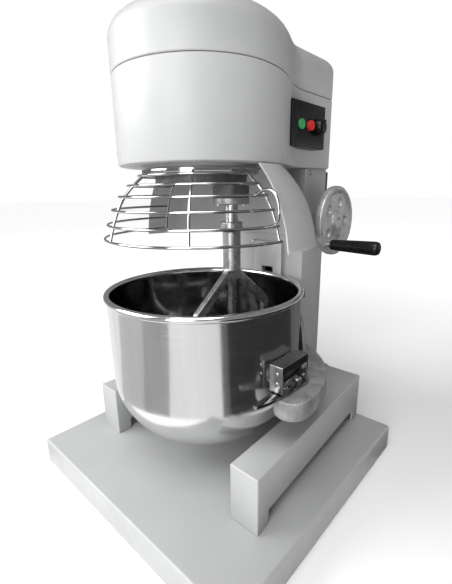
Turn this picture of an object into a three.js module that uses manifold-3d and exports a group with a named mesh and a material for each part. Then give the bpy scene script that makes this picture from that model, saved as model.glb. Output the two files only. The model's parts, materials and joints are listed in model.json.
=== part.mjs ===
// Planetary dough mixer: a bowl on a hand-cranked lifting yoke under a fixed head, with a wire bowl guard.
// Millimetres, +Z up, floor at z = 0. The bowl and planetary axis is X = Y = 0 and the operator stands at -Y.
import * as THREE from "three";
import Module from "manifold-3d";
import { mergeVertices } from "three/addons/utils/BufferGeometryUtils.js";

const wasm = await Module();
wasm.setup();
const group = new THREE.Group();
const GAP = 0.3; // between touching pieces
const DEG = Math.PI / 180;

// ---- driving dimensions ---------------------------------------------------------------------------------
const plinth = { halfX: 290, front: -250, back: 325, top: 60 };
const base = { top: 170, back: 315, halfBack: 211, halfFront: 236, front: -125, wall: 5, relief: 88 };
const leg = { innerBack: 166, innerFront: 176, innerEnd: 190 };
const column = { halfX: 92, front: 222, back: 314, top: 655, wall: 7 };
const rim = { r: 200, top: 425, roll: 6.5 };
const wall = { top: 194, low: 192.5, z: 259, round: 150, depth: 140, sheet: 2.5 };
const arm = { low: 238, top: 272, inner: 198 };
const wheel = { x: 155, y: 262, z: 544, r: 75, rim: 20 };
const gripSpot = { y: 228, z: 496, from: 158.5, to: 262 };
const carrierTurn = 46 * DEG; // where the agitator stands at rest
const orbit = 56.25; // agitator axis to bowl axis
const agitator = { x: orbit * Math.cos(carrierTurn), y: orbit * Math.sin(carrierTurn) };
const gear = { module: 3.75, ring: 40, planet: 10, low: 664, top: 680 };
const head = { low: 655.3, top: 800, frontR: 150, halfBack: 100, wall: 7 };
const pulley = { z0: 745, z1: 765, driven: 85, motor: 30, motorY: 205 };
const guardRings = [ // radius and height of each ring of the wire guard, lowest first
  [184.6, 529], [177.4, 554], [167.2, 580], [153.6, 603], [136.2, 622], [116, 639],
];
const guardHandleAt = -10.5; // degrees round the bowl axis
const guardSpan = { from: -197, to: 0.8 }; // degrees round the bowl axis
const guardRibs = [-196, -104, -51, -0.8];
const wire = 2.4; // radius of the guard wire
const shieldSpan = { from: -6.6, to: 173.4 };
const shieldLine = [[217, 514], [213, 540], [206, 566], [197, 590], [185, 612], [170, 633], [152, 653]];

// ---- helpers --------------------------------------------------------------------------------------------
function paint(colour, roughness, metalness) {
  return { colour, roughness, metalness };
}
const PAINT = paint(0xb4b6b6, 0.5, 0.1);
const STEEL = paint(0xc9cbcc, 0.22, 1);
const CAST = paint(0x8f9294, 0.45, 0.8);
const BLACK = paint(0x151515, 0.45, 0);
const DARK = paint(0x4a4d50, 0.5, 0.6);

function add(name, geometry, look) {
  const material = new THREE.MeshStandardMaterial({
    color: look.colour,
    roughness: look.roughness,
    metalness: look.metalness,
  });
  const mesh = new THREE.Mesh(geometry, material);
  mesh.name = name;
  group.add(mesh);
}

function solid(geometry) {
  const g = geometry.clone();
  g.deleteAttribute("normal");
  g.deleteAttribute("uv");
  const m = mergeVertices(g, 1e-3);
  return new wasm.Manifold(
    new wasm.Mesh({
      numProp: 3,
      vertProperties: new Float32Array(m.attributes.position.array),
      triVerts: new Uint32Array(m.index.array),
    }),
  );
}

function geometryOf(manifold) {
  const m = manifold.getMesh();
  const g = new THREE.BufferGeometry();
  g.setAttribute("position", new THREE.BufferAttribute(new Float32Array(m.vertProperties), 3));
  g.setIndex(new THREE.BufferAttribute(new Uint32Array(m.triVerts), 1));
  g.computeVertexNormals();
  return g;
}

function join(...parts) {
  return geometryOf(parts.map(solid).reduce((a, b) => a.add(b)));
}

function cut(body, ...tools) {
  return geometryOf(tools.map(solid).reduce((a, b) => a.subtract(b), solid(body)));
}

function common(a, b) {
  return geometryOf(solid(a).intersect(solid(b)));
}

function box(x0, x1, y0, y1, z0, z1) {
  const g = new THREE.BoxGeometry(x1 - x0, y1 - y0, z1 - z0);
  return g.translate((x0 + x1) / 2, (y0 + y1) / 2, (z0 + z1) / 2);
}

// A round bar along an axis ("x", "y" or "z") from a to b, centred on the other two coordinates.
function bar(axis, c1, c2, r0, a, b, sides = 24, r1 = r0) {
  const g = new THREE.CylinderGeometry(r1, r0, b - a, sides); // r0 at a, r1 at b
  g.translate(0, (a + b) / 2, 0);
  if (axis === "z") return g.rotateX(Math.PI / 2).translate(c1, c2, 0);
  if (axis === "x") return g.rotateZ(-Math.PI / 2).translate(0, c1, c2);
  return g.translate(c1, 0, c2);
}

function outline(points) {
  const line = points.map(([x, y]) => new THREE.Vector2(x, y));
  if (THREE.ShapeUtils.isClockWise(line)) line.reverse(); // so that holes of either sense are cut
  return new THREE.Shape(line);
}

function plate(shape, z0, z1, curveSegments = 12) {
  const g = new THREE.ExtrudeGeometry(shape, { depth: z1 - z0, bevelEnabled: false, curveSegments });
  return g.translate(0, 0, z0);
}

// A profile of [r, z] points, closed on itself and running anticlockwise, turned about Z between two angles.
function turned(profile, from, to, steps) {
  const n = profile.length;
  const full = Math.abs(to - from) >= 360;
  const rows = full ? steps : steps + 1;
  const position = [];
  for (let i = 0; i < rows; i++) {
    const a = (from + ((to - from) * i) / steps) * DEG;
    for (const [r, z] of profile) position.push(r * Math.cos(a), r * Math.sin(a), z);
  }
  const index = [];
  for (let i = 0; i < steps; i++) {
    for (let j = 0; j < n; j++) {
      const a = i * n + j;
      const b = i * n + ((j + 1) % n);
      const c = ((i + 1) % rows) * n + j;
      const d = ((i + 1) % rows) * n + ((j + 1) % n);
      index.push(a, c, b, b, c, d);
    }
  }
  if (!full) {
    const flat = profile.map(([r, z]) => new THREE.Vector2(r, z));
    for (const [a, b, c] of THREE.ShapeUtils.triangulateShape(flat, [])) {
      index.push(a, b, c);
      index.push(steps * n + a, steps * n + c, steps * n + b);
    }
  }
  const g = new THREE.BufferGeometry();
  g.setAttribute("position", new THREE.Float32BufferAttribute(position, 3));
  g.setIndex(index);
  g.computeVertexNormals();
  return g;
}

// A profile of [r, z] points from the axis to the axis, turned right round.
function lathe(points, sides = 32) {
  const g = new THREE.LatheGeometry(points.map(([r, z]) => new THREE.Vector2(r, z)), sides);
  return g.rotateX(Math.PI / 2);
}

function mirrored(geometry) {
  const g = geometry.clone().scale(-1, 1, 1);
  const index = g.index ? Array.from(g.index.array) : [...Array(g.attributes.position.count).keys()];
  for (let i = 0; i < index.length; i += 3) [index[i + 1], index[i + 2]] = [index[i + 2], index[i + 1]];
  g.setIndex(index);
  g.computeVertexNormals();
  return g;
}

function pair(name, geometry, look) {
  add(name + "_right", geometry, look);
  add(name + "_left", mirrored(geometry), look);
}

function wireAlong(points, radius, steps, sides = 6) {
  const ring = new THREE.Shape();
  ring.absarc(0, 0, radius, 0, 2 * Math.PI);
  const path = new THREE.CatmullRomCurve3(points.map((p) => new THREE.Vector3(...p)), false, "centripetal");
  const options = { steps, extrudePath: path, curveSegments: sides / 2, bevelEnabled: false };
  return new THREE.ExtrudeGeometry(ring, options);
}

function polar(r, degrees, z) {
  return [r * Math.cos(degrees * DEG), r * Math.sin(degrees * DEG), z];
}

// ---- stand ----------------------------------------------------------------------------------------------
function floorPlinth() {
  const { halfX, front, back, top } = plinth;
  const web = 45; // half width of the solid strip under the machine's middle
  const edge = 14;
  const skin = 8;
  const slab = box(-halfX, halfX, front, back, 0, top - GAP);
  const pocket = box(web, halfX - edge, front + edge, back - edge, -1, top - skin);
  return cut(slab, pocket, mirrored(pocket));
}

function baseOutline(inset) {
  const { back, halfBack, halfFront, front } = base;
  const i = inset;
  return outline([
    [-halfBack + i, back - i], [-halfFront + i, front + i], [-leg.innerFront - i, front + i],
    [-leg.innerBack - i, leg.innerEnd + i], [leg.innerBack + i, leg.innerEnd + i],
    [leg.innerFront + i, front + i], [halfFront - i, front + i], [halfBack - i, back - i],
  ]);
}

function baseFrame() {
  const shell = plate(baseOutline(0), plinth.top, base.top);
  const hollow = plate(baseOutline(base.wall), plinth.top - 1, base.top - base.wall);
  const post = 34; // foot left standing at each corner of a leg
  const far = 400;
  const sideRelief = box(-far, far, base.front + post, base.back - post, plinth.top - 1, base.relief);
  const half = base.halfBack - post;
  const backRelief = box(-half, half, leg.innerEnd, far, plinth.top - 1, base.relief);
  return cut(shell, hollow, sideRelief, backRelief);
}

// The column stands on a low cast foot whose sides sweep out in a hollow curve.
function columnFoot() {
  const { halfX, front, back } = column;
  const spread = 34;
  const rise = 22;
  const shape = new THREE.Shape();
  shape.moveTo(-halfX - spread, base.top + GAP);
  shape.lineTo(halfX + spread, base.top + GAP);
  shape.lineTo(halfX + spread, base.top + 3);
  shape.quadraticCurveTo(halfX + 4, base.top + 5, halfX, base.top + rise);
  shape.lineTo(-halfX, base.top + rise);
  shape.quadraticCurveTo(-halfX - 4, base.top + 5, -halfX - spread, base.top + 3);
  const g = plate(shape, 0, back - front, 6);
  return g.rotateX(Math.PI / 2).translate(0, back, 0);
}

const slot = { halfX: 16, low: 290, top: 432 }; // the lift nut's arm passes through it

function columnBody() {
  const { halfX, front, back, top, wall: w } = column;
  const tube = join(box(-halfX, halfX, front, back, base.top + GAP, top), columnFoot());
  const cavity = box(-halfX + w, halfX - w, front + w, back + 1, base.top + 12, top - w);
  const nutSlot = box(-slot.halfX, slot.halfX, front - 1, front + w + 1, slot.low, slot.top);
  const shaftHole = bar("x", wheel.y, wheel.z, 10.3, halfX - w - 1, halfX + 1, 20);
  return cut(tube, cavity, nutSlot, shaftHole);
}

function slideGuide() {
  const top = 493;
  const half = 40;
  const face = box(-half, half, column.front - 8, column.front - GAP, base.top + 24, top);
  return cut(face, box(-slot.halfX, slot.halfX, column.front - 20, column.front + 1, slot.low, slot.top));
}

function liftScrewBearing() {
  const ring = bar("z", 0, wheel.y, 20, base.top + 12 + GAP, base.top + 26, 20);
  return cut(ring, bar("z", 0, wheel.y, 9.3, base.top, base.top + 40, 20));
}

// ---- head -----------------------------------------------------------------------------------------------
function headOutline(inset) {
  const r = head.frontR - inset;
  const half = head.halfBack - inset;
  const back = column.back - inset;
  const s = new THREE.Shape();
  s.moveTo(half, back);
  s.lineTo(-half, back);
  s.lineTo(-half, 190);
  s.bezierCurveTo(-half, 130, -r, 90, -r, 0);
  s.absarc(0, 0, r, Math.PI, 2 * Math.PI, false);
  s.bezierCurveTo(r, 90, half, 130, half, 190);
  return s;
}

const boss = { inner: 91, outer: 103, low: 638 }; // the swivel ring of the guard turns on its outside

function headHousing() {
  const shell = plate(headOutline(0), head.low, head.top, 12);
  const hollow = plate(headOutline(head.wall), head.low + 8, head.top + 1, 12);
  const collar = bar("z", 0, 0, boss.outer, boss.low, head.low + 1, 28);
  const bore = bar("z", 0, 0, boss.inner, boss.low - 1, head.low + 3, 28);
  const hole = bar("z", 0, 0, 80, head.low - 1, head.low + 10, 28);
  return cut(join(shell, collar), hollow, bore, hole);
}

function headCover() {
  const rise = 62;
  const round = 24;
  const options = { depth: rise, bevelThickness: round, bevelSize: round, bevelOffset: -round };
  const dome = { ...options, bevelEnabled: true, bevelSegments: 2, curveSegments: 12 };
  const outer = new THREE.ExtrudeGeometry(headOutline(0), dome).translate(0, 0, head.top + GAP);
  const inner = plate(headOutline(26), head.top - 60, head.top + rise, 8);
  const below = box(-400, 400, -400, 400, head.top - 100, head.top + GAP);
  return cut(outer, inner, below);
}

function gearPoints(teeth, tip, root, tipPart, rootPart, turn) {
  const points = [];
  const pitch = 360 / teeth;
  for (let i = 0; i < teeth; i++) {
    const a = i * pitch + turn;
    for (const [r, part] of [[root, -rootPart], [tip, -tipPart], [tip, tipPart], [root, rootPart]]) {
      const t = (a + part * pitch) * DEG;
      points.push([r * Math.cos(t), r * Math.sin(t)]);
    }
  }
  return points;
}

function ringGear() {
  const r = (gear.module * gear.ring) / 2;
  const shape = new THREE.Shape();
  shape.absarc(0, 0, r + 14, 0, 2 * Math.PI);
  const turn = 46;
  const teeth = gearPoints(gear.ring, r + 3.6, r - 3, 0.17, 0.32, turn);
  shape.holes.push(new THREE.Path(teeth.map(([x, y]) => new THREE.Vector2(x, y))));
  return plate(shape, head.low + 8 + GAP, gear.top + 2, 12);
}

function planetPinion() {
  const r = (gear.module * gear.planet) / 2;
  const teeth = gearPoints(gear.planet, r + 3, r - 3.6, 0.1, 0.27, 46);
  const shape = outline(teeth);
  const bore = new THREE.Path();
  bore.absarc(0, 0, 8 + GAP, 0, 2 * Math.PI);
  shape.holes.push(bore);
  return plate(shape, gear.low, gear.top, 8).translate(agitator.x, agitator.y, 0);
}

function carrier() {
  const disc = bar("z", 0, 0, 86, 626, 650, 40);
  const hub = bar("z", agitator.x, agitator.y, 35, 599, 626.5, 32);
  return cut(join(disc, hub), bar("z", agitator.x, agitator.y, 13 + GAP, 590, 660, 24));
}

function bearingCap() {
  const ring = bar("z", agitator.x, agitator.y, 35, 586, 599 - GAP, 32);
  return cut(ring, bar("z", agitator.x, agitator.y, 13 + GAP, 580, 605, 24));
}

function agitatorShaft() {
  const profile = [[0, 480], [12, 480], [13, 483], [13, 656], [8, 656], [8, 682], [0, 682]];
  return lathe(profile, 24).translate(agitator.x, agitator.y, 0);
}

function groovedPulley(x, y, r, bore) {
  const { z0, z1 } = pulley;
  const flange = r + 4;
  const profile = [
    [bore, z0], [flange, z0], [flange, z0 + 2], [r, z0 + 3],
    [r, z1 - 3], [flange, z1 - 2], [flange, z1], [bore, z1],
  ];
  return turned(profile, 0, 360, 20).translate(x, y, 0);
}

function motorPulley() {
  const wheelPart = groovedPulley(0, 0, pulley.motor, 6);
  const shaft = bar("z", 0, 0, 8, 736, 770, 20);
  return join(wheelPart, shaft).translate(0, pulley.motorY, 0);
}

function motorBody() {
  const low = head.low + 8 + GAP;
  const profile = [[0, low], [60, low], [62, low + 3], [62, 727], [56, 735], [0, 735]];
  return lathe(profile, 28).translate(0, pulley.motorY, 0);
}

// The line round two pulleys, offset outwards: two arcs and the straight runs between them.
function beltOutline(offset) {
  const big = pulley.driven + offset;
  const small = pulley.motor + offset;
  const lean = Math.asin((big - small) / pulley.motorY);
  const s = new THREE.Path();
  s.absarc(0, 0, big, Math.PI - lean, 2 * Math.PI + lean, false);
  s.absarc(0, pulley.motorY, small, lean, Math.PI - lean, false);
  s.closePath();
  return s;
}

function driveBelt() {
  const outer = new THREE.Shape(beltOutline(5).getPoints(8));
  outer.holes.push(new THREE.Path(beltOutline(GAP + 1).getPoints(8)));
  return plate(outer, pulley.z0 + 4, pulley.z1 - 4);
}

// ---- guards ---------------------------------------------------------------------------------------------
function shield() {
  const sheet = 2.5;
  const inner = shieldLine.map(([r, z]) => [r - sheet, z]);
  const profile = [...shieldLine, ...inner.reverse()];
  return turned(profile, shieldSpan.from, shieldSpan.to, 22);
}

function guardRing(r, z) {
  const sides = 5;
  const profile = [];
  for (let i = 0; i < sides; i++) {
    const a = (i / sides) * 2 * Math.PI;
    profile.push([r + wire * Math.cos(a), z + wire * Math.sin(a)]);
  }
  return turned(profile, guardSpan.from, guardSpan.to, 16);
}

const swivel = { inner: 104.3, outer: 109.5, low: 640, top: 650 };

function wireGuard() {
  const rings = guardRings.map(([r, z]) => guardRing(r, z));
  const ribs = guardRibs.map((a) => {
    const line = guardRings.map(([r, z]) => polar(r - wire, a, z));
    return wireAlong([...line, polar(swivel.outer - 2, a, 645)], wire, 6, 4);
  });
  const { inner, outer, low, top } = swivel;
  const collar = turned([[inner, low], [outer, low], [outer, top], [inner, top]], 0, 360, 28);
  return join(collar, ...rings, ...ribs);
}

// A bent wire that stands out from two of the rings, for a hand to swing the guard by.
function guardHandle() {
  const stand = wire + GAP + 0.4;
  const line = [
    [guardRings[3][0] + stand, 603], [178, 612], [199, 606],
    [208, 580], [201, 560], [guardRings[1][0] + stand, 554],
  ];
  return wireAlong(line.map(([r, z]) => polar(r, guardHandleAt, z)), wire, 12, 6);
}

// ---- lifting yoke and bowl ------------------------------------------------------------------------------
// Half angle left open at the front of the apron at each height: it is widest at the height of the arms.
function apronEnd(z) {
  const low = 200;
  const top = 372;
  const widest = 268;
  if (z < widest) return 44 - (6 * (z - low)) / (widest - low);
  return 38 + 20 * Math.pow((z - widest) / (top - widest), 1.4);
}

function apron() {
  const inner = 204;
  const outer = 211.5;
  const rows = 7;
  const columns = 10;
  const position = [];
  for (let i = 0; i <= rows; i++) {
    const z = 200 + (172 * i) / rows;
    for (const r of [inner, outer]) {
      for (let j = 0; j <= columns; j++) {
        const from = apronEnd(z);
        position.push(...polar(r, from + ((180 - 2 * from) * j) / columns, z));
      }
    }
  }
  const n = columns + 1;
  const at = (i, side, j) => (i * 2 + side) * n + j;
  const index = [];
  const quad = (a, b, c, d) => index.push(a, b, c, a, c, d);
  for (let i = 0; i < rows; i++) {
    for (let j = 0; j < columns; j++) {
      quad(at(i, 1, j), at(i, 1, j + 1), at(i + 1, 1, j + 1), at(i + 1, 1, j));
      quad(at(i, 0, j + 1), at(i, 0, j), at(i + 1, 0, j), at(i + 1, 0, j + 1));
    }
    quad(at(i, 0, 0), at(i, 1, 0), at(i + 1, 1, 0), at(i + 1, 0, 0));
    quad(at(i, 1, columns), at(i, 0, columns), at(i + 1, 0, columns), at(i + 1, 1, columns));
  }
  for (let j = 0; j < columns; j++) {
    quad(at(0, 0, j), at(0, 0, j + 1), at(0, 1, j + 1), at(0, 1, j));
    quad(at(rows, 0, j), at(rows, 1, j), at(rows, 1, j + 1), at(rows, 0, j + 1));
  }
  const g = new THREE.BufferGeometry();
  g.setAttribute("position", new THREE.Float32BufferAttribute(position, 3));
  g.setIndex(index);
  return g;
}

function yokeArm() {
  const { low, top, inner } = arm;
  const outer = bar("z", 42, -8, 216, low, top, 48);
  const side = box(60, 300, -300, 212, low - 1, top + 1);
  const front = box(0, 300, -300, -50, low - 2, top + 2);
  const clear = bar("z", 0, 0, inner, low - 2, top + 2, 48);
  const blank = common(outer, side);
  const nose = bar("z", 226.5, -20, 30.5, low - 2, top + 2, 32);
  const noseZone = box(150, 300, -51, -20, low - 3, top + 3);
  const corners = cut(noseZone, nose);
  return cut(blank, clear, front, corners);
}

function yoke() {
  const saddle = cut(
    box(-46, 46, 196, column.front - 8 - GAP, 202, 370),
    bar("z", 0, 0, 204.5, 190, 380, 48),
  );
  const right = yokeArm();
  const body = join(apron(), saddle, right, mirrored(right));
  const seat = bar("z", 209.5, 25, 4 + GAP, arm.top - 14, arm.top + 1, 16);
  return cut(body, seat, mirrored(seat));
}

function liftNut() {
  const front = column.front - 8 - GAP + 0.6;
  const block = box(-13, 13, front, wheel.y + 16, 300, 328);
  const neck = bar("z", 0, wheel.y, 9.6, 290, 340, 24);
  return cut(block, neck);
}

function bowl() {
  const { top, low, z: zLow, round, depth, sheet } = wall;
  const zTop = rim.top - 2 * rim.roll;
  const skin = (offset, count) => {
    const line = [];
    for (let i = 0; i <= count; i++) {
      const t = (i / count) * (Math.PI / 2);
      const r = low - round + (round - offset) * Math.cos(t);
      line.push([i === count ? 0 : r, zLow - (depth - offset) * Math.sin(t)]);
    }
    return line;
  };
  const outside = [[top, zTop], ...skin(0, 6)];
  const inside = [...skin(sheet, 6).reverse(), [top - sheet, zTop]];
  const lip = [];
  for (let i = 0; i <= 6; i++) {
    const a = (200 - (i * 250) / 6) * DEG;
    lip.push([rim.r - rim.roll + rim.roll * Math.cos(a), rim.top - rim.roll + rim.roll * Math.sin(a)]);
  }
  const half = [...inside, ...lip, ...outside];
  return lathe(half.reverse(), 44);
}

const ear = { x0: 195.5, x1: 222, y0: -43, y1: 39, top: 328, low: 279, sheet: 5 };

function bowlEar() {
  const { x0, x1, y0, y1, top, low, sheet } = ear;
  const lid = box(x0, x1, y0, y1, top - sheet, top);
  const frontSide = box(x0, x1, y0, y0 + sheet, low, top);
  const backSide = box(x0, x1, y1 - sheet, y1, low, top);
  const lip = box(x1 - sheet, x1, y0, y1, top - 16, top);
  const clear = bar("z", 0, 0, wall.top + GAP, low - 5, top + 5, 44);
  return cut(join(lid, frontSide, backSide, lip), clear);
}

function rimLug() {
  const from = rim.top - 30;
  const lug = turned([[194.5, from], [207, from], [207, rim.top - 14], [194.5, rim.top - 14]], 44, 49, 2);
  return lug;
}

// Flat lever that swings about its back screw, with a long rounded nose.
function clampLever() {
  const pivot = { x: 209.5, y: 25 };
  const s = new THREE.Shape();
  s.moveTo(198, 36);
  s.lineTo(198, -22);
  s.quadraticCurveTo(203, -60, 201, -92);
  s.absarc(206, -92, 5, Math.PI, 2 * Math.PI, false);
  s.quadraticCurveTo(222, -62, 226, -22);
  s.lineTo(228, 32);
  s.quadraticCurveTo(227, 42, 216, 42);
  s.quadraticCurveTo(200, 42, 198, 36);
  const flat = plate(s, arm.top + GAP, arm.top + 5.3, 4);
  const hole = bar("z", pivot.x, pivot.y, 4 + GAP, arm.top - 2, arm.top + 8, 16);
  const stop = bar("z", pivot.x, pivot.y - 44, 4 + GAP, arm.top - 2, arm.top + 8, 16);
  return cut(flat, hole, stop);
}

function screwIn(x, y, low) {
  const shank = bar("z", x, y, 4, low, arm.top + 6, 16);
  const profile = [[0, 0], [7, 0], [7, 1.2], [5.5, 3.6], [3, 4.8], [0, 5]];
  const cap = lathe(profile, 16).translate(x, y, arm.top + 5.3 + GAP);
  return join(shank, cap);
}

// ---- lifting drive --------------------------------------------------------------------------------------
function handwheel() {
  const { x, r, rim: thick } = wheel;
  const front = x;
  const back = x - thick;
  const profile = [
    [0, back + 4], [16, back + 4], [16, back + 9], [r - 14, back + 9],
    [r - 10, back + 2], [r - 6, back], [r - 1, back + 4], [r, back + 10],
    [r - 1, front - 4], [r - 6, front], [r - 11, front - 2], [r - 16, front - 6],
    [22, front - 6], [19, front + 1], [0, front + 1],
  ];
  const g = lathe(profile, 30).rotateY(Math.PI / 2);
  const body = g.translate(0, wheel.y, wheel.z);
  const hole = bar("x", gripSpot.y, gripSpot.z, 5 + GAP, back - 5, front + 5, 16);
  const bore = bar("x", wheel.y, wheel.z, 10 + GAP, back - 5, back + 12, 20);
  return cut(body, hole, bore);
}

const gearCone = { big: 22, small: 11 }; // mitre gears, drawn as plain cones

function handShaft() {
  return bar("x", wheel.y, wheel.z, 10, 30, wheel.x - wheel.rim + 11, 20);
}

function handGear() {
  const cone = bar("x", wheel.y, wheel.z, gearCone.small, 11.4, 22.4, 24, gearCone.big);
  const hub = bar("x", wheel.y, wheel.z, gearCone.big, 22.4, 29.7, 24);
  return join(cone, hub);
}

function screwGear() {
  const z = wheel.z - 22.4;
  const cone = bar("z", 0, wheel.y, gearCone.big, z, z + 11, 24, gearCone.small);
  const hub = bar("z", 0, wheel.y, gearCone.big, z - 8, z, 24);
  return cut(join(cone, hub), bar("z", 0, wheel.y, 9 + GAP, z - 9, z + 12, 20));
}

function liftScrew() {
  return bar("z", 0, wheel.y, 9, base.top + 13, wheel.z - 12, 20);
}

function gripSpindle() {
  const back = wheel.x - wheel.rim;
  const shank = bar("x", gripSpot.y, gripSpot.z, 5, back - 2, gripSpot.to - 8, 16);
  return join(shank, bar("x", gripSpot.y, gripSpot.z, 8, back - 6, back - 1, 6));
}

function crankGrip() {
  const { y, z, from, to } = gripSpot;
  const profile = [
    [0, to], [8, to], [12, to - 2], [14, to - 6], [14, to - 14], [13.4, to - 40],
    [11.5, from + 12], [11, from + 1.5], [10, from], [5 + GAP, from], [5 + GAP, to - 7], [0, to - 7],
  ];
  return lathe(profile.reverse(), 16).rotateY(Math.PI / 2).translate(0, y, z);
}

// ---- flat beater ----------------------------------------------------------------------------------------
function flatBeater() {
  const thick = 12;
  const round = new THREE.SplineCurve(
    [[118, 362], [117.5, 330], [112, 296], [97, 270], [76, 250], [50, 236], [24, 229], [0, 227.5]]
      .map(([x, y]) => new THREE.Vector2(x, y)),
  ).getPoints(14).map((p) => [p.x, p.y]);
  const right = [[0, 468], [12, 466], [24, 452], [104, 388], [114, 376], ...round];
  const left = right.slice(1, -1).reverse().map(([x, y]) => [-x, y]);
  const frame = outline([...right, ...left]);
  const holes = [
    [[7, 438], [20, 432], [92, 374], [101, 361], [101, 336], [7, 336]],
    [[7, 324], [100, 324], [96, 304], [84, 282], [66, 263], [44, 251], [22, 244], [7, 242.5]],
  ];
  const windows = holes.map((hole) => plate(outline(hole), -thick, thick));
  const pierced = cut(plate(frame, -thick / 2, thick / 2), ...windows, ...windows.map(mirrored));
  const blade = pierced.rotateX(Math.PI / 2).rotateZ(Math.PI / 2);
  const sleeve = bar("z", 0, 0, 18, 456, 537, 28);
  const collar = bar("z", 0, 0, 22.5, 536, 553, 28);
  const bore = bar("z", 0, 0, 13 + GAP, 478, 560, 24);
  const slotDown = box(-30, 0, -3.4, 3.4, 514, 537);
  const slotFoot = box(-30, 0, -3.4, 12, 514, 521);
  const body = cut(join(blade, sleeve, collar), bore, slotDown, slotFoot, box(-30, 0, -3.4, 3.4, 536, 560));
  return body.translate(agitator.x, agitator.y, 0);
}

function drivePin() {
  const long = bar("x", 0, 517.5, 3, -22, -13 - GAP, 12);
  return long.translate(agitator.x, agitator.y, 0);
}

// ---- controls -------------------------------------------------------------------------------------------
const controls = { x: 128, y0: 110, y1: 230, low: 690, top: 770 };

function controlBox() {
  const { x, y0, y1, low, top } = controls;
  const body = box(head.halfBack - 20, x, y0, y1, low, top);
  const against = plate(headOutline(-2 * GAP), low - 10, top + 10, 12);
  const shaped = cut(body, against);
  const holes = [140, 170, 200].map((y) => bar("x", y, 730, 9.4, x - 9, x + 1, 20));
  return cut(shaped, ...holes);
}

function pushButton(y, length) {
  const { x } = controls;
  return bar("x", y, 730, 9, x - 6, x + length, 20);
}

function speedKnob() {
  const { x } = controls;
  const stem = bar("x", 200, 730, 9, x - 6, x + 2, 20);
  const cap = bar("x", 200, 730, 15, x + 1.5, x + 14, 24, 13);
  const pointer = box(x + 13, x + 18, 197, 203, 719, 742);
  return join(stem, cap, pointer);
}

function cableGland() {
  const y = column.back + 3;
  const nut = bar("y", 60, 230, 13, y + GAP, y + 10, 6);
  const dome = bar("y", 60, 230, 10, y + 9, y + 24, 20, 8);
  return cut(join(nut, dome), bar("y", 60, 230, 4, y + 12, y + 30, 16));
}

function sideScrew() {
  const profile = [[0, 0], [6, 0], [6, 1.2], [4.6, 3], [0, 4]];
  return lathe(profile, 16).rotateY(Math.PI / 2).translate(column.halfX + GAP, 240, 647);
}

// ---- assembly -------------------------------------------------------------------------------------------
add("floor_plinth", floorPlinth(), PAINT);
add("base_frame", baseFrame(), PAINT);
add("column", columnBody(), PAINT);
add("column_rear_cover", box(-88, 88, column.back + GAP, column.back + 3, base.top + 26, 650), PAINT);
add("slide_guide", slideGuide(), PAINT);
add("lift_screw_bearing", liftScrewBearing(), CAST);
add("head_housing", headHousing(), PAINT);
add("head_cover", headCover(), PAINT);
add("ring_gear", ringGear(), DARK);
add("motor", motorBody(), DARK);
add("drive_belt", driveBelt(), BLACK);
add("rear_shield", shield(), PAINT);
add("control_box", controlBox(), BLACK);
add("terminal_box", box(20, 90, column.back + 3.3, column.back + 13, 607, 650), BLACK);
add("cable_gland", cableGland(), BLACK);
add("side_screw", sideScrew(), STEEL);
add("slide_stop_screw", bar("y", -46, 492, 3, column.front - 7, column.front - GAP, 12), STEEL);

add("yoke", yoke(), CAST);
add("lift_nut", liftNut(), CAST);
add("bowl", bowl(), STEEL);
pair("bowl_ear", bowlEar(), STEEL);
pair("rim_lug", rimLug(), STEEL);
pair("lever_pivot_screw", screwIn(209.5, 25, arm.top - 12), STEEL);
pair("clamp_lever", clampLever(), STEEL);
pair("lever_stop_screw", screwIn(209.5, -19, arm.top + GAP), STEEL);

add("handwheel", handwheel(), CAST);
add("handwheel_shaft", handShaft(), STEEL);
add("shaft_bevel_gear", handGear(), DARK);
add("grip_spindle", gripSpindle(), STEEL);
add("crank_grip", crankGrip(), BLACK);
add("lift_screw", liftScrew(), STEEL);
add("screw_bevel_gear", screwGear(), DARK);

add("planetary_carrier", carrier(), DARK);
add("agitator_bearing_cap", bearingCap(), CAST);
add("drive_spindle", bar("z", 0, 0, 14, 650 + GAP, 780, 24), STEEL);
add("driven_pulley", groovedPulley(0, 0, pulley.driven, 14 + GAP), CAST);
add("motor_pulley", motorPulley(), CAST);
add("agitator_shaft", agitatorShaft(), STEEL);
add("planet_pinion", planetPinion(), DARK);
add("drive_pin", drivePin(), STEEL);
add("flat_beater", flatBeater(), CAST);

add("wire_guard", wireGuard(), STEEL);
add("guard_handle", guardHandle(), STEEL);
add("start_button", pushButton(140, 4), paint(0x1f7a3a, 0.4, 0));
add("stop_button", pushButton(170, 7), paint(0xa81c1c, 0.4, 0));
add("speed_knob", speedKnob(), BLACK);

export default group;
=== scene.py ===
"""A floor-standing planetary dough mixer, dressed for its picture.

Metres, +Z up, floor at z = 0, the operator at -Y and the handwheel at +X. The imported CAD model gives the
outer sizes and places. A piece made here stands for one CAD node, or adds a small detail to it. It rides
on that node's body.
"""
import json
import math

import bmesh
import bpy
from mathutils import Matrix, Vector


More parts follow.
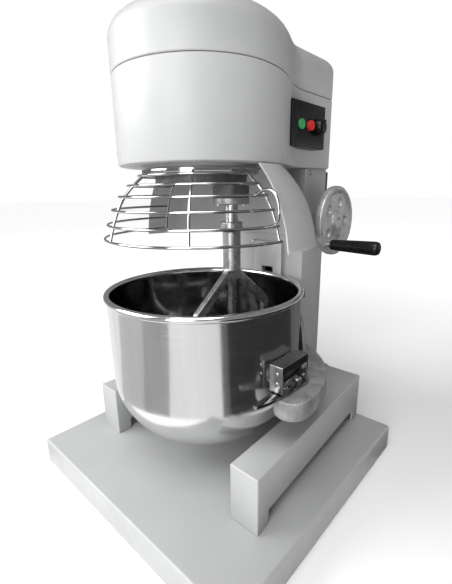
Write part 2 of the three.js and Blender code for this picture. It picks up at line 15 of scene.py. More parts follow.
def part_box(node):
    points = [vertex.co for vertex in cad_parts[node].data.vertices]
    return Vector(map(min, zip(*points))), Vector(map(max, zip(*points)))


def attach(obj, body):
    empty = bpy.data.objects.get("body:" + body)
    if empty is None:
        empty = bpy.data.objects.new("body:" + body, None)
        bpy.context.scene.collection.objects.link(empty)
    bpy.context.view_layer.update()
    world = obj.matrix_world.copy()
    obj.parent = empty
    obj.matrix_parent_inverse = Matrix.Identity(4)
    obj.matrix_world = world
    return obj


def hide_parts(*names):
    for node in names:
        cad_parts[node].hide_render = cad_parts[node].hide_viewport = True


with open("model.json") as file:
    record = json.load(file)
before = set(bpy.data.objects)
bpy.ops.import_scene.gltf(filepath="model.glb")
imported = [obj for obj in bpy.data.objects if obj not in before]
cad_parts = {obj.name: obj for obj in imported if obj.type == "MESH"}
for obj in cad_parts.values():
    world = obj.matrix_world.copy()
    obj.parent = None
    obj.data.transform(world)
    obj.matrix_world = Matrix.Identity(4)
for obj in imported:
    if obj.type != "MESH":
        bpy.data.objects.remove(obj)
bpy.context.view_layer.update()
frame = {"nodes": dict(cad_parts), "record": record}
NODES = frame["nodes"]
BODIES = frame["record"]["behaviour"]["bodies"]
BODY_OF = {node: body for body, nodes in BODIES.items() for node in nodes}
SLOT_OF = {part["node"]: part["material_slot"] for part in frame["record"]["subparts"]}
SMOOTH_ANGLE = math.radians(32)
WIRE = 0.0024  # radius of the guard's wire
SHEET = 0.0025  # thickness of the bowl's wall and of the rear shield
ROOM_LIGHT = 0.24  # the room as it lights the machine
BACKDROP = 1.0  # the room as the camera sees it behind the machine
FLOOR_CARDS = [  # from and to, in degrees from +X towards +Y, and brightness
    (-200, -150, 1.0), (-150, -112, 0.62), (-112, -82, 0.42), (-82, -30, 0.95),
    (-30, -23, 0.14), (-23, 64, 0.03), (64, 110, 0.12),
]


# ---- materials -----------------------------------------------------------------------------------------
class Look:
    """A Principled material with a few procedural layers."""

    def __init__(self, name, colour, metallic, roughness):
        self.material = bpy.data.materials.new(name)
        self.material.use_nodes = True
        self.tree = self.material.node_tree
        self.shader = self.tree.nodes["Principled BSDF"]
        self.shader.inputs["Base Color"].default_value = (*colour, 1)
        self.shader.inputs["Metallic"].default_value = metallic
        self.shader.inputs["Roughness"].default_value = roughness
        self.place = self.tree.nodes.new("ShaderNodeTexCoord").outputs["Object"]

    def link(self, source, target):
        self.tree.links.new(source, target)

    def noise(self, scale, detail=4, stretch=(1, 1, 1), roughness=0.55):
        mapping = self.tree.nodes.new("ShaderNodeMapping")
        mapping.inputs["Scale"].default_value = stretch
        self.link(self.place, mapping.inputs["Vector"])
        node = self.tree.nodes.new("ShaderNodeTexNoise")
        node.inputs["Scale"].default_value = scale
        node.inputs["Detail"].default_value = detail
        node.inputs["Roughness"].default_value = roughness
        self.link(mapping.outputs["Vector"], node.inputs["Vector"])
        return node.outputs["Fac"]

    def spread(self, value, low, high, start=0.3, end=0.7):
        """value from start to end becomes low to high."""
        node = self.tree.nodes.new("ShaderNodeMapRange")
        for socket, number in zip(("From Min", "From Max", "To Min", "To Max"), (start, end, low, high)):
            node.inputs[socket].default_value = number
        self.link(value, node.inputs["Value"])
        return node.outputs["Result"]

    def mix(self, amount, first, second):
        node = self.tree.nodes.new("ShaderNodeMix")
        node.data_type = "RGBA"
        self.link(amount, node.inputs["Factor"])
        for socket, colour in zip((6, 7), (first, second)):
            if isinstance(colour, tuple):
                node.inputs[socket].default_value = (*colour, 1)
            else:
                self.link(colour, node.inputs[socket])
        return node.outputs[2]

    def edges(self, start, end):
        """1 on convex edges and 0 elsewhere, for paint worn thin or metal rubbed bright."""
        point = self.tree.nodes.new("ShaderNodeNewGeometry").outputs["Pointiness"]
        return self.spread(point, 0, 1, start, end)

    def colour(self, source):
        self.link(source, self.shader.inputs["Base Color"])

    def gloss(self, source):
        self.link(source, self.shader.inputs["Roughness"])

    def bump(self, height, depth, strength):
        node = self.tree.nodes.new("ShaderNodeBump")
        node.inputs["Distance"].default_value = depth
        node.inputs["Strength"].default_value = strength
        previous = self.shader.inputs["Normal"].links
        if previous:
            self.link(previous[0].from_socket, node.inputs["Normal"])
        self.link(height, node.inputs["Height"])
        self.link(node.outputs["Normal"], self.shader.inputs["Normal"])

    def turned_grain(self, amount):
        """Highlights drawn out across fine lines that run round the Z axis."""
        tangent = self.tree.nodes.new("ShaderNodeTangent")
        tangent.direction_type = "RADIAL"
        tangent.axis = "Z"
        self.link(tangent.outputs["Tangent"], self.shader.inputs["Tangent"])
        self.shader.inputs["Anisotropic"].default_value = amount
        self.shader.inputs["Anisotropic Rotation"].default_value = 0.25


def enamel(name, colour):
    """Sprayed enamel over a filled casting: a slight orange peel, uneven gloss, thin on the edges."""
    stain = 0.9
    look = Look(name, colour, 0.0, 0.42)
    look.shader.inputs["Specular IOR Level"].default_value = 0.45
    clouds = look.noise(7, 5)
    dark = tuple(c * stain for c in colour)
    stained = look.mix(look.spread(clouds, 0, 1, 0.35, 0.7), colour, dark)
    worn = tuple(min(1, c * 1.22) for c in colour)
    look.colour(look.mix(look.edges(0.52, 0.6), stained, worn))
    look.gloss(look.spread(look.noise(38, 6), 0.34, 0.52))
    look.bump(look.noise(420, 2), 0.00012, 0.5)
    look.bump(look.noise(24, 2), 0.0006, 0.35)
    return look.material


def polished_steel(name, tone, roughness):
    """Spun and polished stainless sheet: lines round the axis, and long soft marks down the wall."""
    look = Look(name, (tone,) * 3, 1.0, roughness)
    look.turned_grain(0.55)
    rings = look.noise(16, 6, (1, 1, 46))
    drops = look.noise(22, 3, (1, 1, 0.05))
    look.gloss(look.spread(rings, roughness * 0.6, roughness * 1.5))
    look.colour(look.mix(look.spread(drops, 0, 1), (tone * 1.06,) * 3, (tone * 0.9,) * 3))
    look.bump(rings, 0.00004, 0.4)
    look.bump(drops, 0.0006, 0.2)
    return look.material


def bright_steel(name, roughness, tone):
    """Chromed or polished small parts, with fine rub marks."""
    look = Look(name, (tone,) * 3, 1.0, roughness)
    look.gloss(look.spread(look.noise(60, 4), roughness * 0.8, roughness * 1.4))
    look.colour(look.mix(look.edges(0.53, 0.62), (tone * 0.9,) * 3, (min(1, tone * 1.4),) * 3))
    look.bump(look.noise(70, 2), 0.0001, 0.2)
    return look.material


def turned_steel(name):
    """Shafts and pins from the lathe."""
    look = Look(name, (0.44, 0.44, 0.44), 1.0, 0.28)
    look.turned_grain(0.6)
    lines = look.noise(40, 4, (1, 1, 30))
    look.gloss(look.spread(lines, 0.2, 0.38))
    look.colour(look.mix(look.spread(look.noise(30), 0, 1), (0.62, 0.62, 0.62), (0.42, 0.42, 0.42)))
    look.bump(lines, 0.00005, 0.5)
    return look.material


def casting(name, light, dark, metallic, roughness):
    """Sand casting, rubbed brighter on its edges: mottled, with a fine open grain."""
    look = Look(name, light, metallic, roughness)
    mottle = look.spread(look.noise(34, 8, roughness=0.7), 0, 1, 0.38, 0.66)
    body = look.mix(mottle, light, dark)
    rubbed = tuple(min(1, c * 1.5) for c in light)
    look.colour(look.mix(look.edges(0.53, 0.66), body, rubbed))
    look.gloss(look.spread(look.noise(90, 5), roughness * 0.75, roughness * 1.25))
    look.bump(look.noise(650, 4), 0.0002, 0.5)
    look.bump(look.noise(60, 4), 0.0007, 0.4)
    return look.material


def moulded(name, colour, roughness):
    """Moulded plastic or rubber with a faint grain and dulled patches."""
    look = Look(name, colour, 0.0, roughness)
    look.shader.inputs["Specular IOR Level"].default_value = 0.3
    look.gloss(look.spread(look.noise(45, 5), roughness * 0.75, roughness * 1.35))
    lighter = tuple(c * 1.8 + 0.004 for c in colour)
    look.colour(look.mix(look.edges(0.53, 0.64), colour, lighter))
    look.bump(look.noise(900, 2), 0.00008, 0.4)
    return look.material


LOOKS = {
    "paint": enamel("grey_enamel", (0.33, 0.334, 0.334)),
    "polished_steel": polished_steel("spun_steel", 0.74, 0.16),
    "bright_wire": bright_steel("bright_wire", 0.09, 0.5),
    "brushed": turned_steel("turned_steel"),
    "casting": casting("aluminium_casting", (0.34, 0.344, 0.348), (0.22, 0.224, 0.228), 0.75, 0.4),
    "grey_iron": casting("dark_iron", (0.14, 0.142, 0.145), (0.08, 0.08, 0.082), 0.7, 0.5),
    "black_plastic": moulded("black_plastic", (0.004, 0.004, 0.004), 0.3),
    "black_rubber": moulded("black_rubber", (0.02, 0.02, 0.02), 0.7),
    "green_plastic": moulded("green_plastic", (0.03, 0.24, 0.08), 0.35),
    "red_plastic": moulded("red_plastic", (0.45, 0.02, 0.02), 0.35),
}
LOOK_FOR = {  # finishes of single pieces that differ from the rest of their slot; bowl_inside and ear are their steel with a darker base colour, painted shade
    "bowl_inside": polished_steel("bowl_inside_painted_shade_steel", 0.4, 0.1),
    "yoke": casting("worn_grey_casting", (0.3, 0.3, 0.297), (0.16, 0.16, 0.16), 0.2, 0.45),
    # ears, lugs and levers: bright steel with its base colour darkened as painted shade of what it mirrors
    "ear": bright_steel("ear_painted_shade_steel", 0.16, 0.3),
    "beater": casting("beater_casting", (0.42, 0.425, 0.43), (0.28, 0.285, 0.29), 0.9, 0.3),
    "handwheel": casting("wheel_casting", (0.5, 0.505, 0.51), (0.33, 0.335, 0.34), 0.6, 0.33),
}


def dress_nodes():
    """Every CAD node gets the look of its slot, whether or not a finer piece stands for it later."""
    for name, node in NODES.items():
        node.data.materials.clear()
        node.data.materials.append(LOOKS[SLOT_OF[name]])


# ---- mesh helpers --------------------------------------------------------------------------------------
def centre_of(node):
    low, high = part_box(node)
    return (low + high) / 2


def place(name, mesh, like, look=None, replaces=True):
    """Puts a mesh in the scene as a piece on the same body as a CAD node."""
    piece = bpy.data.objects.new(name, mesh)
    bpy.context.scene.collection.objects.link(piece)
    mesh.materials.clear()
    mesh.materials.append(look or LOOKS[SLOT_OF[like]])
    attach(piece, BODY_OF[like])
    if replaces:
        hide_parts(like)
    return piece


def shade(mesh):
    for polygon in mesh.polygons:
        polygon.use_smooth = True
    mesh.set_sharp_from_angle(angle=SMOOTH_ANGLE)


def mesh_from(bm, name):
    bmesh.ops.remove_doubles(bm, verts=bm.verts, dist=1e-6)
    bmesh.ops.recalc_face_normals(bm, faces=bm.faces)
    mesh = bpy.data.meshes.new(name)
    bm.to_mesh(mesh)
    bm.free()
    shade(mesh)
    return mesh


def revolved(name, profile, steps=96, closed=False, sweep=(0, 360)):
    """A line of (radius, height) points turned about Z. An open line ends on the axis at both ends."""
    bm = bmesh.new()
    full = sweep[1] - sweep[0] >= 360
    columns = []
    for i in range(steps if full else steps + 1):
        a = math.radians(sweep[0] + (sweep[1] - sweep[0]) * i / steps)
        columns.append([bm.verts.new((r * math.cos(a), r * math.sin(a), z)) for r, z in profile])
    count = len(profile)
    for i in range(steps):
        here, there = columns[i], columns[(i + 1) % len(columns)]
        for j in range(count if closed else count - 1):
            k = (j + 1) % count
            bm.faces.new((here[j], there[j], there[k], here[k]))
    if not full:
        bm.faces.new(columns[0])
        bm.faces.new(reversed(columns[-1]))
    return mesh_from(bm, name)


def rounded(points, radius, steps=4, closed=False):
    """The same line with each corner rounded, as far as the runs beside it allow."""
    points = [Vector(p) for p in points]
    count = len(points)
    line = []
    for i, corner in enumerate(points):
        if not closed and i in (0, count - 1):
            line.append(corner)
            continue
        before, after = points[i - 1] - corner, points[(i + 1) % count] - corner
        reach = min(radius, before.length * 0.45, after.length * 0.45)
        start, end = corner + before.normalized() * reach, corner + after.normalized() * reach
        for j in range(steps + 1):
            t = j / steps
            line.append(start * (1 - t) ** 2 + corner * 2 * t * (1 - t) + end * t ** 2)
    return [tuple(p) for p in line]


def laid_along_x(mesh, centre):
    """Turns a mesh made about Z so that its axis runs along X through centre."""
    mesh.transform(Matrix.Translation(centre) @ Matrix.Rotation(math.radians(90), 4, "Y"))
    return mesh


def softened(node, width, look=None):
    """The CAD node's own shape with its sharp edges rounded."""
    bm = bmesh.new()
    bm.from_mesh(NODES[node].data)
    bmesh.ops.remove_doubles(bm, verts=bm.verts, dist=1e-5)
    bmesh.ops.dissolve_limit(bm, angle_limit=math.radians(0.5), verts=bm.verts, edges=bm.edges)
    mesh = bpy.data.meshes.new(node + "_soft")
    bm.to_mesh(mesh)
    bm.free()
    for polygon in mesh.polygons:
        polygon.use_smooth = True
    piece = place(node + "_soft", mesh, node, look)
    bevel = piece.modifiers.new("rounded_edges", "BEVEL")
    bevel.width = width
    bevel.segments = 3
    bevel.limit_method = "ANGLE"
    bevel.angle_limit = math.radians(33)
    bevel.harden_normals = True


def cast(node, voxel, rounds, look=None):
    """The CAD node's shape as a casting: every edge and corner melted a little."""
    mesh = NODES[node].data.copy()
    mesh.name = node + "_cast"
    piece = place(node + "_cast", mesh, node, look)
    for polygon in mesh.polygons:
        polygon.use_smooth = True
    weld = piece.modifiers.new("weld", "WELD")
    weld.merge_threshold = 1e-5
    remesh = piece.modifiers.new("skin", "REMESH")
    remesh.mode = "VOXEL"
    remesh.voxel_size = voxel
    remesh.use_smooth_shade = True
    smooth = piece.modifiers.new("melted", "SMOOTH")
    smooth.factor = 0.5
    smooth.iterations = rounds


def wires(name, lines, like):
    """Round wires along lines of points, as one piece that stands for a CAD node."""
    curve = bpy.data.curves.new(name, "CURVE")
    curve.dimensions = "3D"
    curve.bevel_depth = WIRE
    curve.bevel_resolution = 3
    curve.use_fill_caps = True
    for line in lines:
        spline = curve.splines.new("POLY")
        spline.points.add(len(line) - 1)
        for point, place_at in zip(spline.points, line):
            point.co = (*place_at, 1)
        spline.use_smooth = True
    piece = bpy.data.objects.new(name, curve)
    bpy.context.scene.collection.objects.link(piece)
    curve.materials.append(LOOKS[SLOT_OF[like]])
    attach(piece, BODY_OF[like])
    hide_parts(like)


def polar(radius, degrees, height):
    a = math.radians(degrees)
    return Vector((radius * math.cos(a), radius * math.sin(a), height))


def through(points, steps):
    """A smooth line through points, for a bent wire or a sheet's profile."""
    points = [Vector(p) for p in points]
    ends = [points[0] * 2 - points[1], *points, points[-1] * 2 - points[-2]]
    line = []
    for a, b, c, d in zip(ends, ends[1:], ends[2:], ends[3:]):
        for j in range(steps):
            t = j / steps
            line.append(
                0.5 * (b * 2 + (c - a) * t + (a * 2 - b * 5 + c * 4 - d) * t ** 2
                       + (b * 3 - a - c * 3 + d) * t ** 3)
            )
    line.append(points[-1])
    return line


# ---- bowl and yoke -------------------------------------------------------------------------------------
def bowl():
    """Spun bowl: a rolled rim, a slightly tapered wall and a deep rounded bottom."""
    low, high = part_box("bowl")
    roll = 0.0065  # radius of the rolled rim
    wall_top, wall_low = high.x - roll + 0.0005, high.x - roll - 0.001
    flat, depth = 0.0425, 0.14  # radius of the flat bottom, and height of the round part
    turn_z = low.z + depth
    arc = [math.radians(90 * i / 22) for i in range(23)]
    outside = [(flat + (wall_low - flat) * math.sin(a), turn_z - depth * math.cos(a)) for a in arc]
    inside = [
        (flat + (wall_low - flat - SHEET) * math.sin(a), turn_z - (depth - SHEET) * math.cos(a))
        for a in reversed(arc)
    ]
    bead = [math.radians(-60 + 260 * i / 14) for i in range(15)]
    middle = Vector((high.x - roll, high.z - roll))
    lip = [(middle.x + roll * math.cos(a), middle.y + roll * math.sin(a)) for a in bead]
    neck = high.z - 2.1 * roll
    wall = [(wall_low + (wall_top - wall_low) * t, turn_z + (neck - turn_z) * t) for t in (0.35, 0.7, 1)]
    back = [(r - SHEET, z) for r, z in reversed(wall)]
    profile = [(0, low.z), *outside, *wall, *lip, *back, *inside, (0, low.z + SHEET)]
    shell = place("bowl_shell", revolved("bowl_shell", profile, 192), "bowl")
    paint_shade_inside(shell.data, low.z + 0.1, high.z - 0.012)


def paint_shade_inside(mesh, bottom, rim):
    """The bowl's inner faces get a darker copy of the spun steel, painted shade for the dark room they
    mirror, from the bottom up to just under the rim.
    """
    # painted shade: the inside is the same steel as the outside with a darker base colour
    mesh.materials.append(LOOK_FOR["bowl_inside"])
    for face in mesh.polygons:
        outward = face.center.x * face.normal.x + face.center.y * face.normal.y
        on_bottom = face.normal.z > 0.5 and face.center.z < bottom
        face.material_index = int((outward < 0 or on_bottom) and face.center.z < rim)


def bowl_fittings():
    for side in ("right", "left"):
        # the ears, lugs and levers take the darkened steel, which is painted shade
        softened("bowl_ear_" + side, 0.0012, LOOK_FOR["ear"])
        softened("rim_lug_" + side, 0.001, LOOK_FOR["ear"])
        softened("clamp_lever_" + side, 0.0016, LOOK_FOR["ear"])
        screw_head("lever_pivot_screw_" + side)
        screw_head("lever_stop_screw_" + side)
        ear_bolts(side)


def screw_head(node):
    """A domed cap screw with a socket, over a thin dark washer."""
    low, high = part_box(node)
    x, y = (low.x + high.x) / 2, (low.y + high.y) / 2
    socket, depth, dome = 0.0026, 0.0022, 0.005
    edge, crown = 0.0014, 0.0034
    seat = high.z - dome
    shank, head = 0.004, (high.x - low.x) / 2
    line = [(0, low.z), (shank, low.z), (shank, seat), (head, seat), (head, seat + edge)]
    line += [(head * math.cos(a), seat + edge + crown * math.sin(a)) for a in (0.5, 0.9, 1.2)]
    line += [(socket, high.z - 0.0001), (socket, high.z - depth), (0, high.z - depth)]
    mesh = revolved(node + "_head", rounded(line, 0.0004, 2), 40)
    mesh.transform(Matrix.Translation((x, y, 0)))
    place(node + "_head", mesh, node, LOOKS["bright_wire"])
    outer, below, above = head + 0.0016, seat - 0.0003, seat + 0.0006
    washer = [(shank, below), (outer, below), (outer, above), (shank, above)]
    ring = revolved(node + "_washer", washer, 40, closed=True)
    ring.transform(Matrix.Translation((x, y, 0)))
    place(node + "_washer", ring, node, LOOKS["grey_iron"], replaces=False)


def ear_bolts(side):
    """Two rivet heads on the front plate of a bowl ear."""
    node = "bowl_ear_" + side
    low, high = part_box(node)
    middle = (low.x + high.x) / 2
    sign = 1 if middle > 0 else -1
    radius, proud, sunk = 0.0032, 0.0016, 0.0004
    for i, rise in enumerate((0.36, 0.72)):
        line = [(0, -sunk), (radius, -sunk), (radius * 0.9, proud * 0.6), (radius * 0.5, proud), (0, proud)]
        mesh = revolved("rivet", rounded(line, 0.0004, 2), 24)
        mesh.transform(Matrix.Rotation(math.radians(90), 4, "X"))
        at = (middle + sign * 0.003, low.y, low.z + (high.z - low.z) * rise)
        mesh.transform(Matrix.Translation(at))
        place(f"ear_rivet_{side}_{i}", mesh, node, LOOKS["bright_wire"], replaces=False)


def yoke():
    cast("yoke", 0.0016, 6, LOOK_FOR["yoke"])


# ---- agitator ------------------------------------------------------------------------------------------
def agitator():
    cast("flat_beater", 0.0013, 5, LOOK_FOR["beater"])
    shaft()
    carrier()


def shaft():
    low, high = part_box("agitator_shaft")
    centre = centre_of("agitator_shaft")
    radius = (high.x - low.x) / 2
    tail, shoulder = 0.008, 0.656
    line = [(0, low.z), (radius, low.z), (radius, shoulder), (tail, shoulder), (tail, high.z), (0, high.z)]
    mesh = revolved("agitator_shaft_turned", rounded(line, 0.0015), 64)
    mesh.transform(Matrix.Translation((centre.x, centre.y, 0)))
    place("agitator_shaft_turned", mesh, "agitator_shaft")


def carrier():
    """The planetary disc with its offset hub, and the bearing cap screwed under the hub."""
    softened("planetary_carrier", 0.0015)
    low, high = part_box("agitator_bearing_cap")
    centre = centre_of("agitator_bearing_cap")
    outer, bore = (high.x - low.x) / 2, 0.0133
    line = [(bore, low.z), (outer, low.z), (outer, high.z), (bore, high.z)]
    mesh = revolved("bearing_cap_turned", rounded(line, 0.002, 4, True), 80, closed=True)
    mesh.transform(Matrix.Translation((centre.x, centre.y, 0)))
    place("bearing_cap_turned", mesh, "agitator_bearing_cap")
    cap_screws(centre, low.z, (outer + bore) / 2 + 0.001)


def cap_screws(centre, z, circle):
    """Four socket screws that hold the bearing cap up, seen from below."""
    radius, proud, sunk, floor_of_socket = 0.0038, 0.0022, 0.0005, -0.0004
    socket = radius * 0.5
    for i in range(4):
        at = polar(circle, 45 + 90 * i, 0)
        line = [(0, sunk), (radius, sunk), (radius, -proud), (socket, -proud)]
        line += [(socket, floor_of_socket), (0, floor_of_socket)]
        mesh = revolved("cap_screw", line, 24)
        mesh.transform(Matrix.Translation((centre.x + at.x, centre.y + at.y, z)))
        place(f"cap_screw_{i}", mesh, "agitator_bearing_cap", LOOKS["bright_wire"], replaces=False)


# ---- guards --------------------------------------------------------------------------------------------
GUARD_RINGS = [  # radius and height of each ring, lowest first; the angles below are round the bowl axis
    (0.1846, 0.529), (0.1774, 0.554), (0.1672, 0.58), (0.1536, 0.603), (0.1362, 0.622), (0.116, 0.639),
]
GUARD_SPAN = (-197, 0.8)
GUARD_RIBS = (-196, -104, -51, -0.8)
GUARD_HANDLE_AT = -10.5
SHIELD_SPAN = (-6.6, 173.4)
SWIVEL = {"inner": 0.1043, "outer": 0.1095, "low": 0.64, "top": 0.65}


def wire_guard():
    """Six rings and four ribs of wire, hung from a collar that turns on the head's swivel ring."""
    steps = 72
    start, end = GUARD_SPAN
    lines = []
    for radius, height in GUARD_RINGS:
        turn = [start + (end - start) * i / steps for i in range(steps + 1)]
        lines.append([polar(radius, a, height) for a in turn])
    inner, outer, low, top = SWIVEL.values()
    weld = outer - 0.003
    for angle in GUARD_RIBS:
        rib = [polar(radius - WIRE * 0.8, angle, height) for radius, height in GUARD_RINGS]
        lines.append(through([*rib, polar(weld, angle, (low + top) / 2)], 6))
    wires("guard_wires", lines, "wire_guard")
    collar = [(inner, low), (outer, low), (outer, top), (inner, top)]
    mesh = revolved("guard_collar", rounded(collar, 0.001, 3, True), 96, closed=True)
    place("guard_collar", mesh, "wire_guard", replaces=False)


def guard_handle():
    """A bent wire from the fourth ring to the second, for a hand to swing the guard by."""
    touch = WIRE * 0.6
    upper, lower = GUARD_RINGS[3], GUARD_RINGS[1]
    line = [
        (upper[0] + touch, upper[1]), (0.178, 0.612), (0.199, 0.606),
        (0.208, 0.58), (0.201, 0.56), (lower[0] + touch, lower[1]),
    ]
    bent = through([polar(radius, GUARD_HANDLE_AT, height) for radius, height in line], 8)
    wires("guard_handle_wire", [bent], "guard_handle")


def rear_shield():
    """Painted sheet, half round, that closes the back of the guard."""
    line = [
        (0.217, 0.514), (0.213, 0.54), (0.206, 0.566), (0.197, 0.59),
        (0.185, 0.612), (0.17, 0.633), (0.152, 0.653),
    ]
    outer = [tuple(p)[:2] for p in through([(r, z, 0) for r, z in line], 5)]
    inner = [(r - SHEET, z) for r, z in reversed(outer)]
    mesh = revolved("rear_shield_sheet", [*outer, *inner], 128, closed=True, sweep=SHIELD_SPAN)
    place("rear_shield_sheet", mesh, "rear_shield")


# ---- head and stand ------------------------------------------------------------------------------------
def head_line(inset):
    """The head from above: round in front, drawn in to a narrower back by a smooth curve."""
    count = 40
    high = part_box("head_housing")[1]
    radius, back, half = high.x - inset, high.y - inset, 0.1 - inset
    side = [Vector((radius, 0)), Vector((radius, 0.09)), Vector((half, 0.13)), Vector((half, 0.19))]
    curve = []
    for i in range(count + 1):
        t = i / count
        weights = ((1 - t) ** 3, 3 * t * (1 - t) ** 2, 3 * t ** 2 * (1 - t), t ** 3)
        curve.append(sum((p * w for p, w in zip(side, weights)), Vector((0, 0))))
    corner = rounded([curve[-1], (half, back), (0, back)], 0.008, 5)[1:]
    right = [*curve, *[Vector(p) for p in corner]]
    arc = [math.radians(-90 + 90 * i / count) for i in range(count)]
    front = [Vector((radius * math.cos(a), radius * math.sin(a))) for a in arc]
    half_line = [*front, *right]
    other = [Vector((-p.x, p.y)) for p in reversed(half_line[1:-1])]
    return [*half_line, *other]


def stacked(levels):
    """Outlines of (inset, height) joined one above the next, with both ends left open."""
    bm = bmesh.new()
    rings = [[bm.verts.new((p.x, p.y, z)) for p in head_line(inset)] for inset, z in levels]
    count = len(rings[0])
    for lower, upper in zip(rings, rings[1:]):
        for i in range(count):
            k = (i + 1) % count
            bm.faces.new((lower[i], lower[k], upper[k], upper[i]))
    return bm, rings


def head():
    housing()
    cover()
    softened("control_box", 0.004)
    softened("terminal_box", 0.0015)
    softened("cable_gland", 0.0008)
    softened("speed_knob", 0.0012)
    for button in ("start_button", "stop_button"):
        push_button(button)
    side_screw()


def housing():
    """Lower half of the head: a painted shell with the swivel ring of the guard cast under it."""
    low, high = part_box("head_housing")
    edge, plate_z = 0.004, 0.6553
    levels = [(edge, plate_z), (edge * 0.3, plate_z + edge * 0.3), (0, plate_z + edge)]
    levels += [(0, high.z - 0.002), (0.0015, high.z - 0.0004), (0.007, high.z - 0.0004)]
    bm, rings = stacked(levels)
    ring_outer, ring_inner, throat = 0.103, 0.091, 0.08
    ceiling, throat_top = 0.658, 0.663
    steps = [(ring_outer, plate_z), (ring_outer, low.z + 0.001), (ring_outer - 0.001, low.z)]
    steps += [(ring_inner, low.z), (ring_inner, ceiling), (throat, ceiling), (throat, throat_top)]
    before = rings[0]
    around = [math.atan2(v.co.y, v.co.x) for v in before]
    for radius, z in steps:
        here = [bm.verts.new((radius * math.cos(a), radius * math.sin(a), z)) for a in around]
        for i in range(len(here)):
            k = (i + 1) % len(here)
            bm.faces.new((before[k], before[i], here[i], here[k]))
        before = here
    place("head_housing_shell", mesh_from(bm, "head_housing_shell"), "head_housing")


def cover():
    """Upper half of the head: a domed lid with a soft shoulder."""
    low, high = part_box("head_cover")
    shoulder = 0.034
    levels = [(0.006, low.z + 0.0004), (0.0012, low.z + 0.0004), (0, low.z + 0.002)]
    for i in range(13):
        a = math.radians(90 * i / 12)
        levels.append((shoulder * (1 - math.cos(a)), high.z - shoulder + shoulder * 0.93 * math.sin(a)))
    for inset, rise in ((0.05, 0.955), (0.07, 0.985), (0.09, 1)):
        levels.append((inset, high.z - shoulder + shoulder * rise))
    bm, rings = stacked(levels)
    bm.faces.new(rings[-1])
    place("head_cover_shell", mesh_from(bm, "head_cover_shell"), "head_cover")


def push_button(node):
    low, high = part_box(node)
    centre = centre_of(node)
    radius, length = (high.y - low.y) / 2, high.x - low.x
    line = [(0, 0), (radius, 0), (radius, length), (radius * 0.75, length - 0.0008), (0, length - 0.0012)]
    mesh = revolved(node + "_cap", rounded(line, 0.0012), 48)
    place(node + "_cap", laid_along_x(mesh, (low.x, centre.y, centre.z)), node)


def side_screw():
    """The domed screw near the top of the column's side."""
    low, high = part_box("side_screw")
    centre = centre_of("side_screw")
    radius, proud = (high.y - low.y) / 2, high.x - low.x
    line = [(0, 0), (radius, 0), (radius, proud * 0.35), (radius * 0.8, proud * 0.75)]
    line += [(radius * 0.4, proud), (0, proud)]
    mesh = revolved("side_screw_head", rounded(line, 0.0006), 40)
    place("side_screw_head", laid_along_x(mesh, (low.x, centre.y, centre.z)), "side_screw")


def stand():
    softened("floor_plinth", 0.006)
    softened("base_frame", 0.0035)
    softened("column", 0.004)
    softened("column_rear_cover", 0.001)
    softened("slide_guide", 0.001)


# ---- lifting drive -------------------------------------------------------------------------------------
def handwheel():
    """Cast handwheel with a heavy round rim, a dished web and a ring of shallow pockets round the hub."""
    low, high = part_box("handwheel")
    centre = centre_of("handwheel")
    radius = (high.z - low.z) / 2
    thick, hub, web_front, web_back = high.x - low.x, 0.019, 0.015, 0.009
    rim_in = radius - 0.014
    back = [(0, 0.004), (0.016, 0.004), (0.0165, web_back), (rim_in, web_back), (radius - 0.01, 0.0015)]
    rim = [(radius - 0.006, 0), (radius - 0.0008, 0.004), (radius, 0.01), (radius - 0.0008, 0.0165)]
    rim += [(radius - 0.005, 0.0198), (radius - 0.009, 0.0192), (rim_in, 0.0155)]
    dish_out, dish_in, sag, count = rim_in - 0.002, 0.022, 0.0012, 26
    dish = []
    for i in range(count + 1):
        across = dish_out - (dish_out - dish_in) * i / count
        dish.append((across, web_front - sag * math.sin(math.pi * i / count)))
    boss = [(hub, thick - 0.0012), (hub - 0.002, thick), (0.007, thick)]
    boss += [(0.006, thick - 0.002), (0, thick - 0.002)]
    profile = [*rounded([*back, *rim], 0.0015, 3), *dish, *rounded(boss, 0.001, 3)]
    mesh = revolved("handwheel_casting", profile, 216)
    pocket_wheel(mesh, web_front - 0.003, 0.041, 0.0105, 0.0034)
    shade(mesh)
    laid_along_x(mesh, (low.x, centre.y, centre.z))
    place("handwheel_casting", mesh, "handwheel", LOOK_FOR["handwheel"])
    grip()


def pocket_wheel(mesh, above, circle, radius, depth):
    """Sinks five round pockets with soft walls into the front of the web."""
    web_edge, lip_width, lip_height = 0.058, 0.0018, 0.0009
    middles = [polar(circle, 90 + 72 * i, 0) for i in range(5)]
    for vertex in mesh.vertices:
        x, y, z = vertex.co
        if z < above or math.hypot(x, y) > web_edge:
            continue
        near = min(math.hypot(x - m.x, y - m.y) for m in middles)
        wall = min(1, max(0, (radius - near) / (radius * 0.3)))
        lip = math.exp(-((near - radius) / lip_width) ** 2)
        vertex.co.z += lip_height * lip - depth * wall * wall * (3 - 2 * wall)


def grip():
    """The black crank grip: a tapered handle, thickest near its outer end."""
    low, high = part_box("crank_grip")
    centre = centre_of("crank_grip")
    length, fat = high.x - low.x, (high.y - low.y) / 2
    line = [(0, 0.0005), (fat * 0.72, 0.0005), (fat * 0.8, 0.003), (fat * 0.84, 0.014)]
    line += [(fat * 0.95, length - 0.04), (fat, length - 0.014), (fat, length - 0.007)]
    line += [(fat * 0.86, length - 0.0015), (fat * 0.5, length), (0, length)]
    mesh = revolved("crank_grip_turned", rounded(line, 0.003, 5), 64)
    place("crank_grip_turned", laid_along_x(mesh, (low.x, centre.y, centre.z)), "crank_grip")


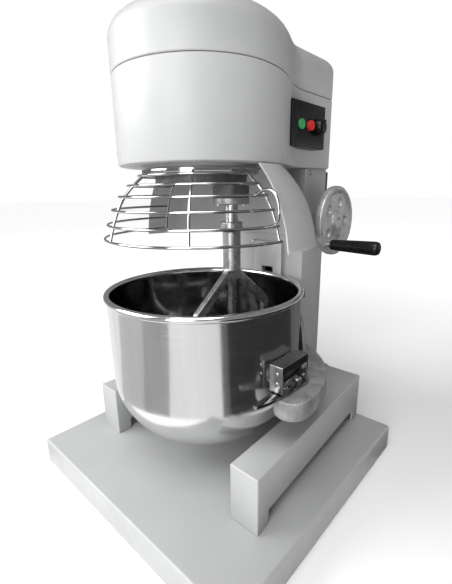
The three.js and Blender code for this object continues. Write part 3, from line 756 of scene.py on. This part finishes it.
# ---- floor, lights and camera --------------------------------------------------------------------------
def floor():
    """A pale studio floor; past the machine it glows a little, so that it runs into the white backdrop."""
    size, glow, glow_from, glow_to = 30, 0.75, 0.7, 2.6
    bm = bmesh.new()
    bmesh.ops.create_grid(bm, x_segments=1, y_segments=1, size=size)
    mesh = mesh_from(bm, "floor")
    piece = bpy.data.objects.new("floor", mesh)
    bpy.context.scene.collection.objects.link(piece)
    look = Look("pale_floor", (0.86, 0.86, 0.86), 0.0, 0.8)
    look.colour(look.mix(look.noise(3), (0.88, 0.88, 0.88), (0.84, 0.84, 0.84)))
    distance = look.tree.nodes.new("ShaderNodeVectorMath")
    distance.operation = "LENGTH"
    look.link(look.place, distance.inputs[0])
    far_glow = look.spread(distance.outputs["Value"], 0, glow, glow_from, glow_to)
    look.link(far_glow, look.shader.inputs["Emission Strength"])
    look.shader.inputs["Emission Color"].default_value = (1, 1, 1, 1)
    mesh.materials.append(look.material)


def soft_box(name, azimuth, distance, height, width, tall, power):
    """A studio light that looks at the machine; azimuth is counted from +X towards +Y."""
    data = bpy.data.lights.new(name, "AREA")
    data.shape = "RECTANGLE"
    data.size = width
    data.size_y = tall
    data.energy = power
    lamp = bpy.data.objects.new(name, data)
    lamp.location = polar(distance, azimuth, height)
    aim = Vector((0, 0, 0.45)) - lamp.location
    lamp.rotation_euler = aim.to_track_quat("-Z", "Y").to_euler()
    lamp.visible_camera = False
    bpy.context.scene.collection.objects.link(lamp)


def floor_card(name, start, end, strength):
    """A glowing sheet on the floor that shows only in reflections: the bowl's wall mirrors the floor."""
    near, far, height, steps = 0.4, 6.0, 0.0008, 12
    bm = bmesh.new()
    turns = [start + (end - start) * i / steps for i in range(steps + 1)]
    rows = [[bm.verts.new(polar(radius, a, height)) for a in turns] for radius in (near, far)]
    for i in range(steps):
        bm.faces.new((rows[0][i], rows[1][i], rows[1][i + 1], rows[0][i + 1]))
    mesh = mesh_from(bm, name)
    look = Look(name, (0, 0, 0), 0.0, 1.0)
    look.shader.inputs["Specular IOR Level"].default_value = 0
    look.shader.inputs["Emission Color"].default_value = (1, 1, 1, 1)
    look.shader.inputs["Emission Strength"].default_value = strength
    mesh.materials.append(look.material)
    card = bpy.data.objects.new(name, mesh)
    bpy.context.scene.collection.objects.link(card)
    card.visible_camera = False
    card.visible_diffuse = False
    card.visible_shadow = False


def lights():
    world = bpy.data.worlds.new("studio")
    world.use_nodes = True
    tree = world.node_tree
    background = tree.nodes["Background"]
    background.inputs["Color"].default_value = (1, 1, 1, 1)
    seen = tree.nodes.new("ShaderNodeLightPath").outputs["Is Camera Ray"]
    strength = tree.nodes.new("ShaderNodeMapRange")
    strength.inputs["To Min"].default_value = ROOM_LIGHT
    strength.inputs["To Max"].default_value = BACKDROP
    tree.links.new(seen, strength.inputs["Value"])
    tree.links.new(strength.outputs["Result"], background.inputs["Strength"])
    bpy.context.scene.world = world
    soft_box("front_key", -70, 2.4, 1.0, 1.0, 1.6, 34)
    soft_box("left_key", -130, 2.4, 1.6, 1.8, 1.6, 82)
    soft_box("top_key", -60, 1.3, 2.9, 1.8, 1.8, 62)
    for i, (start, end, brightness) in enumerate(FLOOR_CARDS):
        floor_card(f"floor_card_{i}", start, end, brightness)


def camera():
    """Stands at the operator's right, a little above the handwheel, and looks down a little."""
    turn, tilt, roll = math.radians(42.62), math.radians(15.15), math.radians(-0.9)
    forward = Vector((-math.sin(turn) * math.cos(tilt), math.cos(turn) * math.cos(tilt), -math.sin(tilt)))
    right = Vector((math.cos(turn), math.sin(turn), 0))
    up = right.cross(forward)
    level_right = right * math.cos(roll) + up * math.sin(roll)
    level_up = up * math.cos(roll) - right * math.sin(roll)
    axes = Matrix((level_right, level_up, -forward)).transposed().to_4x4()
    data = bpy.data.cameras.new("camera")
    data.sensor_fit = "VERTICAL"
    data.sensor_height = 36
    data.lens = 22.88
    cam = bpy.data.objects.new("camera", data)
    cam.matrix_world = Matrix.Translation((0.53, -0.512, 0.61)) @ axes
    bpy.context.scene.collection.objects.link(cam)
    bpy.context.scene.camera = cam


bpy.context.scene.view_settings.view_transform = "Standard"
dress_nodes()
bowl()
bowl_fittings()
yoke()
agitator()
wire_guard()
guard_handle()
rear_shield()
head()
stand()
handwheel()
floor()
lights()
camera()
